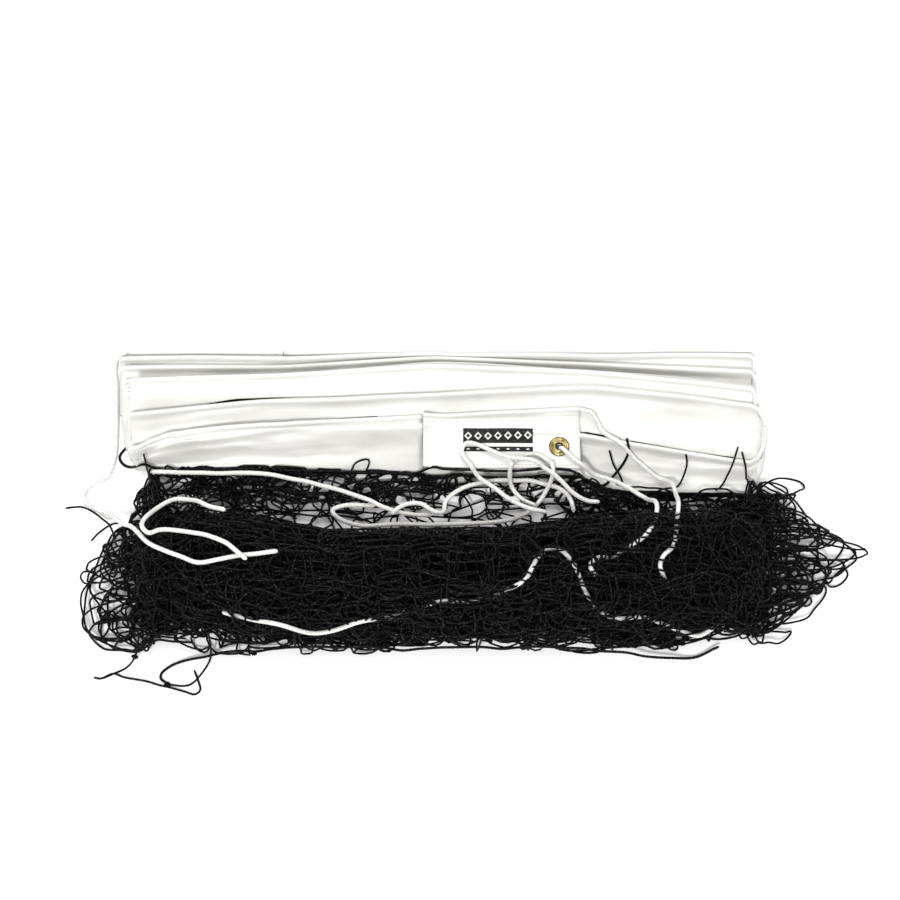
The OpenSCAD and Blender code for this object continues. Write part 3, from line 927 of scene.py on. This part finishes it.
def build_skirt():
    """The few layers of open mesh between the heap and the band."""
    rng = np.random.default_rng(23)
    lines, knots = [], []
    for x0, x1, layers, depths in SKIRT_SPANS:
        for _ in range(layers):
            count = int((x1 - x0) / 38) + 1
            shift = rng.uniform(-20, 20)
            loose = 7 if depths is WIDE else 4
            u = np.linspace(0, 1, count)[:, None]
            left, right = x0 + rng.uniform(-16, 34, (1, 4)), x1 + rng.uniform(-30, 14, (1, 4))
            x = left * (1 - u) + right * u + 0.4 * shift + rng.normal(0, 8, (count, 4))
            y = np.array(depths, float)[None] + rng.normal(0, loose, (count, 4))
            y[:, 1:] += rng.uniform(-1, 1) * loose
            y[:, 0] = 37
            y = y - 36 + np.interp(x, *SKIRT_EDGE)
            z = 2 + (np.interp(x, *SKIRT_TOP) - 5) * rng.uniform(0.1, 1, (count, 4))
            k = np.stack([x, y, z], axis=-1)
            for bars in (k.transpose(1, 0, 2), k):
                x, y, z = smooth_lines(add_bows(bars, rng, 0.3), 4).transpose(2, 0, 1)
                z = np.clip(z, LOWEST, np.interp(x, *SKIRT_TOP))
                edge = np.interp(x, *SKIRT_EDGE) - 2
                y = np.minimum(y, edge) + 2.5 * np.tanh(np.clip(y - edge, 0, None) / 5)
                lines.append(np.stack([x, y, z], axis=-1))
            knots.append(k[:, 1:].reshape(-1, 3))
    knots = np.concatenate(knots)
    knots[:, 2] = np.clip(knots[:, 2], 2, 28)
    return net_piece("netting_skirt", lines, knots, rng)


# How far the loose loops reach past the heap, from front to back
RIGHT_REACH = (
    [-173, -162, -150, -128, -106, -86, -72, -60, -46, -26, 0, 15, 22],
    [296, 322, 348, 356, 374, 382, 398, 415, 396, 368, 350, 336, 304],
)
LEFT_REACH = (
    [-178, -162, -145, -111, -88, -55, -38, -15, 10, 30],
    [-350, -384, -404, -413, -409, -397, -388, -362, -352, -346],
)
# Reach, middle and half width of the longest loops
RIGHT_TIPS = [(415, -60, 13), (409, -57, 22), (398, -66, 30), (386, -90, 16)]
LEFT_TIPS = [(-414, -104, 42), (-408, -80, 34), (-402, -120, 50), (-412, -112, 20)]
# Where the end loops point to, how far out they reach and how high
END_AIM, END_X, END_Z = -66.0, 413, 48


def loop_line(core, table, reach, low, high, z, aim, rng):
    """One strand that leaves the heap, turns round and goes back in."""
    a = np.linspace(-0.14, 1.14, 17) * math.pi
    belly = rng.uniform(0.15, 0.8)
    mid, half = (low + high) / 2, (high - low) / 2
    x = core + (reach - core) * np.sin(a)
    y = mid - half * np.cos(a) * (1.1 - belly * 0.5 + belly * np.sin(a))
    lean = aim * (mid - END_AIM) / 110 + rng.normal(0, 0.14)
    y = y - lean * np.abs(x - core)
    wave = soften(rng.normal(0, 1, (17, 2)), 0, 0.4)
    height = z * (1.0 - 0.55 * np.clip(np.sin(a), 0, 1)) + rng.uniform(-5, 5) * np.cos(a)
    line = np.column_stack([x + 3.0 * wave[:, 0], y + 2.6 * wave[:, 1], height])
    most = np.abs(np.interp(line[:, 1], *table)) - rng.uniform(0, 20)
    over = np.clip(np.abs(line[:, 0]) - most, 0, None)
    line[:, 0] = np.sign(core) * (np.abs(line[:, 0]) - over + 4 * np.tanh(over / 14))
    inside = np.abs(x) < abs(core) + 8
    front, back = heap_edges(x[inside])
    line[inside, 1] = np.clip(line[inside, 1], front + 12, back - 6)
    return line


def end_loops(rng, core, table, count, aim, tips):
    """Loose loops of one end, and the bars knotted between them."""
    lows, highs = table[0][0] + 12, table[0][-1] - 4
    loops = []
    for k in range(count):
        mid = lows + (highs - lows) * (k + rng.uniform(0, 1)) / count
        half = rng.uniform(9, 32)
        share = 0.16 + 0.84 * ((k * 0.618) % 1)
        reach = (np.interp(mid, *table) - core) * share
        tip = mid - aim * (mid - END_AIM) / 110 * abs(reach)
        reach = core + (np.interp(tip, *table) - core) * share
        low, high = max(mid - half, lows), min(mid + half, highs)
        loops.append(loop_line(core, table, reach, low, high, rng.uniform(4, 44), aim, rng))
    for reach, mid, half in tips:
        z = rng.uniform(10, 30)
        loops.append(loop_line(core, table, reach, mid - half, mid + half, z, 0, rng))
    loops = np.array(loops)
    pick = rng.integers(0, len(loops), (count * 14, 2))
    at = rng.integers(2, 15, (count * 14, 2))
    bars = loops[pick, at]
    gap = np.linalg.norm(bars[:, 0] - bars[:, 1], axis=1)
    good = (gap > 14) & (gap < 44) & (pick[:, 0] != pick[:, 1])
    return loops, bars[good][: int(count * 1.7)]


def build_ends():
    """Open loops of mesh at both ends of the heap."""
    rng = np.random.default_rng(37)
    lines, knots = [], []
    for core, table, aim, tips in (
        (282, RIGHT_REACH, 0.5, RIGHT_TIPS),
        (-324, LEFT_REACH, 0.15, LEFT_TIPS),
    ):
        loops, bars = end_loops(rng, core, table, 44, aim, tips)
        lines.append(smooth_lines(loops, 5))
        lines.append(smooth_lines(add_bows(bars, rng, 0.3), 4))
        knots.append(bars.reshape(-1, 3))
    for group in lines:
        x = group[..., 0]
        past = np.abs(x) - END_X
        group[..., 0] = np.where(past > 0, np.sign(x) * (END_X + 2 * np.tanh(past / 4)), x)
        group[..., 2] = np.clip(group[..., 2], LOWEST, END_Z)
    return net_piece("netting_ends", lines, np.concatenate(knots), rng, 6)


HEAD_CORD = [
    [-366, 60], [-373, 50], [-369, 41], [-358, 36], [-340, 31], [-325, 27.4], [-288, 27.6],
    [-240, 27.4], [-150, 27.4], [-52, 26.4], [-30, 23], [-2, 22], [35, 20.5], [57, 21.5],
    [77, 23.5], [103, 21.5], [122, 18], [138, 16], [148, 25], [159, 36], [164, 46], [162, 58],
]
LOOSE_ENDS = [
    [[144, 47], [149, 35], [157, 24], [161, 10]],
    [[151, 14], [165, 9], [191, 9], [214, -1]],
    [[224, 42], [225, 31], [216, 15], [194, 3]],
    [[279, 50], [271, 28], [255, 5]],
    [[283, 45], [287, 28], [289, 11]],
    [[95, 12], [111, 22], [129, 18], [137, 6]],
    [[-128, 26], [-123, 35], [-111, 39], [-108, 36], [-112, 27]],
    [[-343, 38], [-340, 24], [-334, 10]],
    [[-360, 71], [-358, 60], [-355, 50]],
    [[-290, 25], [-284, 29], [-277, 27], [-270, 22]],
    [[-210, 24], [-204, 31], [-196, 28], [-190, 20]],
    [[230, -4], [244, 6], [262, 8], [276, -2]],
    [[-390, -192], [-382, -193], [-370, -188], [-346, -176], [-341, -157]],
    [[-314, -199], [-297, -201], [-287, -197], [-276, -183], [-269, -169], [-269, -158]],
    [[-399, -44], [-390, -34], [-376, -28], [-366, -32]],
]
BORDER_KNOTS = [[-346, -176], [-314, -199], [-225, -170], [-106, -170], [51, -170]]
# Netting that shows in the gaps behind the hems, and thin dark strands laid in the hem creases as
# painted shade lines: run, from, to, widest at, width, strands
PEEKS_AND_SHADE_LINES = [
    (16, -342, -120, -245, 3.4, 9), (6, -285, -150, -205, 0.7, 2), (4, 120, 255, 200, 0.7, 2),
    (6, 150, 296, 250, 0.8, 2), (16, 118, 288, 190, 0.8, 2), (17, 114, 158, 120, 1.8, 3),
    (17, 158, 294, 200, 0.3, 1), (18, -338, -58, -290, 0.7, 2), (6, -362, -300, -340, 0.4, 1),
]


def over_band(flat, radius):
    """A strand's line on the band, or level with its front edge just in front of it."""
    x, y = flat[:, 0], flat[:, 1]
    high = np.max([stack.at(x, y + d) for d in (0, 2, 4, 6)], axis=0)
    return np.stack([x, y, blur(high, 3) + radius + 0.2], axis=-1)


def build_head_cord():
    """The net's head cord along the band's front edge, single strands near it, and dark strands in
    the hem gaps, partly painted shade.
    """
    rng = np.random.default_rng(41)
    parts = Parts()
    line = over_band(smooth_line(HEAD_CORD, 4.0), 1.4)
    parts.add(*strand_tubes(line[None], 1.5))
    for route in LOOSE_ENDS:
        line = over_band(smooth_line(route, 3.0), TWINE_R)
        ground = resting_height(line[:, 0], line[:, 1]) + TWINE_R
        line[:, 2] = np.where(line[:, 1] < 20, np.maximum(ground, line[:, 2] * 0.6), line[:, 2])
        parts.add(*strand_tubes(line[None], TWINE_R))
    for x, y in BORDER_KNOTS:
        z = resting_height(np.array([x]), np.array([y]))[0] + 1.2
        for dx, dy, dz in ((-1.6, 0.4, 0), (1.4, -0.5, 0.3), (0.2, 0.9, 1.2), (0.1, -1.2, 0.9)):
            add_knots(parts, np.array([[x + dx, y + dy, z + dz]]), 1.9, rng)
    # Dark twine in the gaps behind the hems: the wide patches are netting that shows, the thin
    # strands are painted shade lines in the creases.
    for run, x0, x1, peak, width, count in PEEKS_AND_SHADE_LINES:
        for k in range(count):
            u = (k + 0.5) / count
            trim = 0.3 * u + rng.uniform(0, 0.12)
            x = np.linspace(x0 + (peak - x0) * trim, x1 - (x1 - peak) * trim, 40)
            bell = np.interp(x, [x0, peak, x1], [0.1, 1, 0.1])
            y = run_edges(run, x)[0] + 0.6 + width * u * bell + 0.3 * np.sin(x / 9 + 5 * u)
            z = np.minimum(stack.at(x, y), stack.at(x, y + 2.5)) - 0.1
            z = z + 0.7 * np.sin(x / 21 + 4 * u + run)
            parts.add(*strand_tubes(np.column_stack([x, y, blur(z, 2)])[None], TWINE_R))
    piece = parts.piece("netting_head_cord", TWINE)
    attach(piece, "root")


net_pieces = build_gathered_net()
net_pieces.append(build_skirt())
net_pieces.append(build_ends())
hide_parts("netting")
top_map.spread()


# ------------ cords
def resting_height(x, y):
    """What a cord at x, y lies on: netting or headband."""
    band = np.where((y > -18) & (y < 180), stack.at(x, y), 0)
    band = np.where((x > GRID_X[0]) & (x < GRID_X[-1]), band, 0)
    return np.maximum(top_map.at(x, y), band)


CORD_STEP = 1.2


def lay_cord(route, radius, start=(), stiff=15.0):
    """A cord's centre line: route points are [x, y, lift over what it lies on]."""
    flat = smooth_line(route, CORD_STEP)
    base = resting_height(flat[:, 0], flat[:, 1]) + radius + 0.4
    reach = int(stiff / CORD_STEP)
    half = reach // 2
    high = np.array([base[max(0, i - half) : i + half + 1].max() for i in range(len(base))])
    z = blur(high, reach) + flat[:, 2]
    path = np.stack([flat[:, 0], flat[:, 1], np.maximum(z, radius + 0.1)], axis=-1)
    if len(start):
        joined = np.concatenate([np.asarray(start, float), path[4:]])
        path = smooth_line(resample(joined, 7.0), CORD_STEP)
    return path


def make_cord(name, path, diameter, mat):
    thick = diameter > 4
    pitch = diameter * (2.6 if diameter > 3 else 3.0)
    sides, lobes, across = (16, 3, 0.475) if thick else (8, 2, 0.5)
    verts, quads, tris = laid_tube(path, across * diameter, pitch, sides, lobes, 0.16)
    cord = add_piece(name + "_laid", verts, quads, mat, tris)
    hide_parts(name)
    if name in ON_FLAP:
        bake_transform(cord)
    else:
        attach(cord, "root")


# Each cord's route over the net: [x, y, lift over what it lies on]
ROUTES = {
    "headline_tail": [
        [132, 76, 0], [138, 64, 0], [157, 51, 0], [171, 40, 0], [190, 27, 0], [205, 18, 0],
        [211, 6, 0], [212, -8, -2], [209, -45, -5], [204, -76, -6], [194, -88, -5], [189, -100,
        -6], [195, -114, -8],
    ],
    "far_headline_tail": [
        [-379.5, 133, 0], [-378, 104, 0], [-377, 75, 0], [-378, 48, 0], [-385, 26, 0], [-400,
        18, 0], [-409, 6, 0], [-400, -8, 0], [-382, -16, 0], [-363, -37, -1], [-343, -60, -2],
        [-330, -74, -3], [-312, -84, -3], [-295, -91, -4], [-278, -98, -4], [-257, -96, -3],
        [-235, -92, -3], [-215, -90, -4], [-197, -88, -5],
    ],
    "eyelet_lacing_cord": [
        [101, 37, 1], [112, 29, 1], [126, 24, 1], [143, 20, 0], [157, 11, 0], [171, 1, 0], [182,
        -8, -2], [189, -32, -5], [178, -64, -6], [157, -81, -5], [139, -90, -5], [125, -93, -4],
        [118, -104, -5], [125, -113, -7],
    ],
    "long_lacing_cord": [
        [-335, 22, 0], [-310, 22, 0], [-280, 22, 0], [-250, 21, 0], [-222, 20, 0], [-193, 17,
        0], [-167, 13, 0], [-142, 7, 0], [-124, 0, 3], [-108, -7, 7], [-95, -14, 7], [-78, -20,
        7], [-60, -23, 6], [-42, -23, 6],
    ],
    "looped_lacing_cord": [
        [-102, -11, 0], [-119, -10, 0], [-135, -11, 0], [-146, -16, 0], [-140, -24, 0], [-121,
        -31, 0], [-98, -33, 0], [-76, -32, 0], [-45, -32, 0], [-19, -32, 0], [8, -30, 0], [34,
        -26, 0], [51, -21, 0], [65, -11, 0], [77, 3, 8], [84, 17, 20], [80, 30, 2], [69, 37, 1],
        [55, 37, 1], [43, 29, 2], [39, 18, 20], [42, 7, 8], [52, -5, 6], [66, -12, 6],
    ],
    "ring_lacing_cord": [
        [-84, -24, 12], [-76, -17, 12], [-66, -13, 12], [-54, -13, 12], [-45, -18, 12], [-37,
        -22, 12], [-30, -19, 8], [-28, -9, 6], [-20, 0, 6], [-6, 8, 6], [13, 13, 6], [34, 16,
        5], [57, 16, 5], [77, 11, 5], [92, 6, 4], [102, -5, 6], [106, -19, 2],
    ],
    "vee_lacing_cord": [
        [78, -23, 12], [60, -19, 18], [38, -9, 18], [22, 3, 18], [4, 18, 12], [-6, 31, 2], [-11,
        42, 2], [-6, 50, 2], [4, 49, 2], [22, 41, 2], [38, 33, 6], [61, 26, 18], [79, 18, 28],
        [92, 9, 22], [104, -1, 14], [119, -7, 3], [133, -8, 0],
    ],
    "side_line_cord": [
        [-252, -40, 6], [-269, -34, 6], [-287, -20, 3], [-306, -16, 3], [-322, -28, 3], [-332,
        -44, 6], [-336, -58, 8], [-329, -66, 7], [-318, -62, 2], [-302, -62, -3], [-284, -66,
        -3], [-269, -70, -2], [-250, -80, 3], [-238, -90, 4], [-228, -98, 2],
    ],
    "bottom_line_cord": [
        [-254, -142, 0], [-235, -146, 0], [-216, -151, 0], [-198, -156, 0], [-177, -160, 0],
        [-156, -160, -4], [-129, -156, -10], [-98, -150, -14], [-66, -142, -14], [-34, -137,
        -14], [-2, -134, -12], [30, -128, -6], [51, -120, -2], [59, -106, 0], [65, -93, 0], [75,
        -84, 0], [89, -86, -2], [102, -102, -8], [112, -122, -8], [127, -138, -2], [148, -146,
        0], [173, -144, 0], [194, -148, 0], [212, -152, 0], [231, -156, 0], [246, -150, 0],
    ],
    "bottom_border_cord": [
        [254, -162, 0], [226, -172, 0], [189, -174, 0], [150, -171, 0], [93, -170, 0], [51,
        -170, 0], [8, -170, 0], [-34, -170, 0], [-71, -170, 0], [-106, -170, 0], [-145, -170,
        0], [-182, -170, 0], [-225, -170, 0], [-260, -171, 0], [-290, -174, 0], [-307, -178, 0],
        [-319, -186, 0], [-321, -193, 0], [-315, -198, 0],
    ],
    "left_loose_twine": [
        [-428, -8, 0], [-418, -8, 3], [-409, -9, 6], [-400, -13, 6.5], [-390, -20, 6], [-380,
        -30, 5], [-374, -42, 1], [-371, -54, 0], [-366, -64, 0],
    ],
    "corner_loose_twine": [
        [-390, -192, 0], [-382, -193, 0], [-370, -188, 0], [-358, -192, 0], [-336, -196, 0],
        [-323, -200, 0], [-310, -203, 0], [-296, -207, 0], [-286, -210, 0], [-280, -205, 0],
        [-283, -194, 0], [-287, -184, 0],
    ],
    "right_loose_twine": [
        [297, 2, 0], [311, 14, 0], [329, 22, 0], [344, 22, 0], [350, 14, 0], [337, 2, 0], [321,
        -6, 0], [307, -22, 0],
    ],
}
ON_FLAP = ["headline_tail"] + [k + "_lacing_cord" for k in ("eyelet", "looped", "ring", "vee")]
# Cords that dip between the netting's upper strands: depth, wave, where the dip starts
SUNK = {
    "bottom_line_cord": (([-250, -190, -120, 105, 140], [20, 12, 12, 12, 40]), 6.0, 0),
    "headline_tail": (([0], [10.5]), 5.0, -14),
    "eyelet_lacing_cord": (([0], [11]), 5.0, -14),
}


def sink(path, depth, wave, start_y):
    """Let a cord dip between the strands, deeper and shallower along its way."""
    share = np.clip((start_y - path[:, 1]) / 30, 0, 1)
    drop = share * (np.interp(path[:, 0], *depth) + wave * np.sin(np.arange(len(path)) / 11.0))
    path[:, 2] = np.maximum(path[:, 2] - drop, 3)


def build_cords():
    z = patch_strip.hem_line()[-1]
    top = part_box("eyelet")[1][2] / MM
    starts = {
        "headline_tail": [z - [22, 0, 0], z - [10, 0, 0], z, z + [12, -3, 0]],
        "far_headline_tail": [
            [-368.1, 167.7, 3.4], [-371, 167.7, 3.4], [-379, 162.7, 3.4], [-382, 149.7, 3.4],
        ],
        "eyelet_lacing_cord": [
            [92, 46.9, top - 4], [92.6, 46.2, top + 0.6],
            [95, 43.8, top + 2.9], [98.6, 40, top + 2.7],
        ],
    }
    for name, route in ROUTES.items():
        if name.endswith("twine"):
            make_cord(name, lay_cord(route, 1.2, stiff=6.0), 2.4, TWINE)
        elif name == "bottom_border_cord":
            make_cord(name, lay_cord(route, 1.5), 3, BORDER)
        else:
            path = lay_cord(route, 2.5, starts.get(name, ()))
            if name in SUNK:
                sink(path, *SUNK[name])
            make_cord(name, path, 5, ROPE)


build_cords()
build_head_cord()


# ------------ small pieces
def on_patch(x, y):
    """Height of the near patch's upper side."""
    near = [(dx, dy) for dx in (-1.7, 0, 1.7) for dy in (-0.8, 0, 0.8)]
    return np.max([stack.at(x + dx, y + dy) for dx, dy in near], axis=0)


def plate(parts, x0, x1, y0, y1, raise_by=0.25, cell=1.5, outline=None, level=None):
    """A thin skin that follows the patch, as printed ink does."""
    nx, ny = max(2, int((x1 - x0) / cell) + 1), max(2, int((y1 - y0) / cell) + 1)
    u, v = np.meshgrid(np.linspace(0, 1, nx), np.linspace(0, 1, ny), indexing="ij")
    x, y = x0 + (x1 - x0) * u, y0 + (y1 - y0) * v
    if outline is not None:
        x, y = outline(u, v)
    z = on_patch(x, y) if level is None else level + 0 * x
    top = np.stack([x, y, z + raise_by], axis=-1).reshape(-1, 3)
    low = top - [0, 0, raise_by + 0.15]
    n = nx * ny
    up = grid_quads(nx, ny, closed=False)
    down = up[:, ::-1] + n
    rim = [k * ny for k in range(nx)] + [(nx - 1) * ny + k for k in range(1, ny)]
    rim += [k * ny + ny - 1 for k in range(nx - 2, -1, -1)] + [k for k in range(ny - 2, 0, -1)]
    walls = [[a, a + n, b + n, b] for a, b in zip(rim, rim[1:] + rim[:1])]
    parts.add(np.concatenate([top, low]), np.concatenate([up, down, walls]))


def diamond(parts, cx, cy, w, h, size, raise_by, level=None):
    def outline(u, v):
        a, b = u - 0.5, v - 0.5
        return cx + w * (a + b), cy + h * (a - b)

    plate(parts, 0, size, 0, size, raise_by, 2.0, outline, level)


def build_label():
    """A plain printed mark: a black panel of net-like diamonds over a bar."""
    x0, x1, y0, y1 = -9.5, 63.5, 52.0, 67.5
    panel, light, centre = Parts(), Parts(), Parts()
    plate(panel, x0, x1, y0, y1)
    plate(panel, x0, x1, 43.0, 48.0)
    count = 7
    pitch, tall = (x1 - x0) / count, y1 - y0
    around = np.arange(-4, 5)
    for k in range(count):
        cx, cy = x0 + pitch * (k + 0.5), (y0 + y1) / 2
        level = on_patch(*np.meshgrid(cx + around, cy + around)).max()
        diamond(light, cx, cy, pitch * 0.4, tall * 0.3, 8, 0.35, level)
        diamond(light, cx, 45.5, pitch * 0.2, 1.0, 4, 0.4)
        diamond(centre, cx, cy, pitch * 0.2, tall * 0.15, 4, 0.5, level)
    ink = panel.piece("label_panel", INK)
    pale = light.piece("label_openings", PATCH)
    dots = centre.piece("label_dots", INK)
    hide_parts("label")
    for piece in (ink, pale, dots):
        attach(piece, "end_flap")


def stitch_run(parts, a, b, height, pitch=4.2):
    """Thread laid in short raised stitches between two points."""
    a, b = np.array(a, float), np.array(b, float)
    count = int(np.linalg.norm(b - a) / pitch)
    shape, faces = knot_shape()
    d = (b - a) / np.linalg.norm(b - a)
    n = np.array([-d[1], d[0]])
    for k in range(count):
        c = a + (b - a) * (k + 0.5) / count
        xy = c + shape[:, :1] * d * pitch * 0.36 + shape[:, 1:2] * n * 0.42
        z = height(c[0], c[1]) + 0.12 + shape[:, 2] * 0.38
        parts.add(np.column_stack([xy, z]), (), faces)


def build_stitching():
    near = Parts()
    x0, x1 = SEAM_X + 4, PATCH_END - 3.5
    front, back = 28.0, 74.5
    for a, b in (
        ((x0, front), (x1, front)), ((x0, back - 0.5), (x1, back + 3.5)),
        ((x1, front), (x1, back + 3)), ((x0, front), (x0, back)),
    ):
        stitch_run(near, a, b, on_patch)
    patch_thread = near.piece("patch_thread", THREAD)
    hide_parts("end_patch_stitching")
    to_flap(patch_thread)
    hem = Parts()
    for table, xs in (
        (TOP_FRONT, np.linspace(-346, -58, 40)), (UNDER_TOP_FRONT, np.linspace(118, 284, 24)),
    ):
        seam = list(zip(xs, curve_at(table, xs) + 3.6))
        for a, b in zip(seam, seam[1:]):
            stitch_run(hem, a, b, stack.at)
    hem_thread = hem.piece("hem_thread", THREAD)
    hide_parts("hem_stitching")
    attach(hem_thread, "root")


def build_eyelet():
    """A brass eyelet with a rolled rim and a pressed ring, over its washer's edge."""
    low, high = np.array(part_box("eyelet"))
    centre = [*(low + high)[:2] / 2 / MM, high[2] / MM - 1.5]
    profile = [
        (4.0, 0.2), (4.1, 0.95), (4.5, 1.4), (5.1, 1.5), (5.7, 1.35), (6.1, 0.95), (6.6, 0.85),
        (7.3, 0.95), (7.8, 1.25), (8.4, 1.42), (9.2, 1.35), (10.0, 1.0), (10.55, 0.5),
        (10.75, 0.05), (10.5, -0.15), (4.9, -0.1), (4.85, -3.3), (6.2, -3.35), (6.2, -3.6),
        (4.1, -3.6), (4.0, -3.0),
    ]
    sides, points = 72, len(profile)
    a = 2 * math.pi * np.arange(sides)[:, None] / sides
    r, h = np.array(profile[::-1]).T
    ring = np.stack(np.broadcast_arrays(r * np.cos(a), r * np.sin(a), h), axis=-1) + centre
    quads = grid_quads(sides + 1, points) % (sides * points)
    eyelet = add_piece("eyelet_ring", ring, quads, BRASS)
    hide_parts("eyelet")
    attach(eyelet, "end_flap")


build_label()
build_stitching()
build_eyelet()
for node, mat in (
    ("far_end_patch", PATCH), ("far_end_stitching", THREAD), ("far_eyelet", BRASS),
    ("far_eyelet_washer", BRASS), ("eyelet_washer", BRASS),
):
    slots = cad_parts[node].data.materials
    slots.clear()
    slots.append(mat)
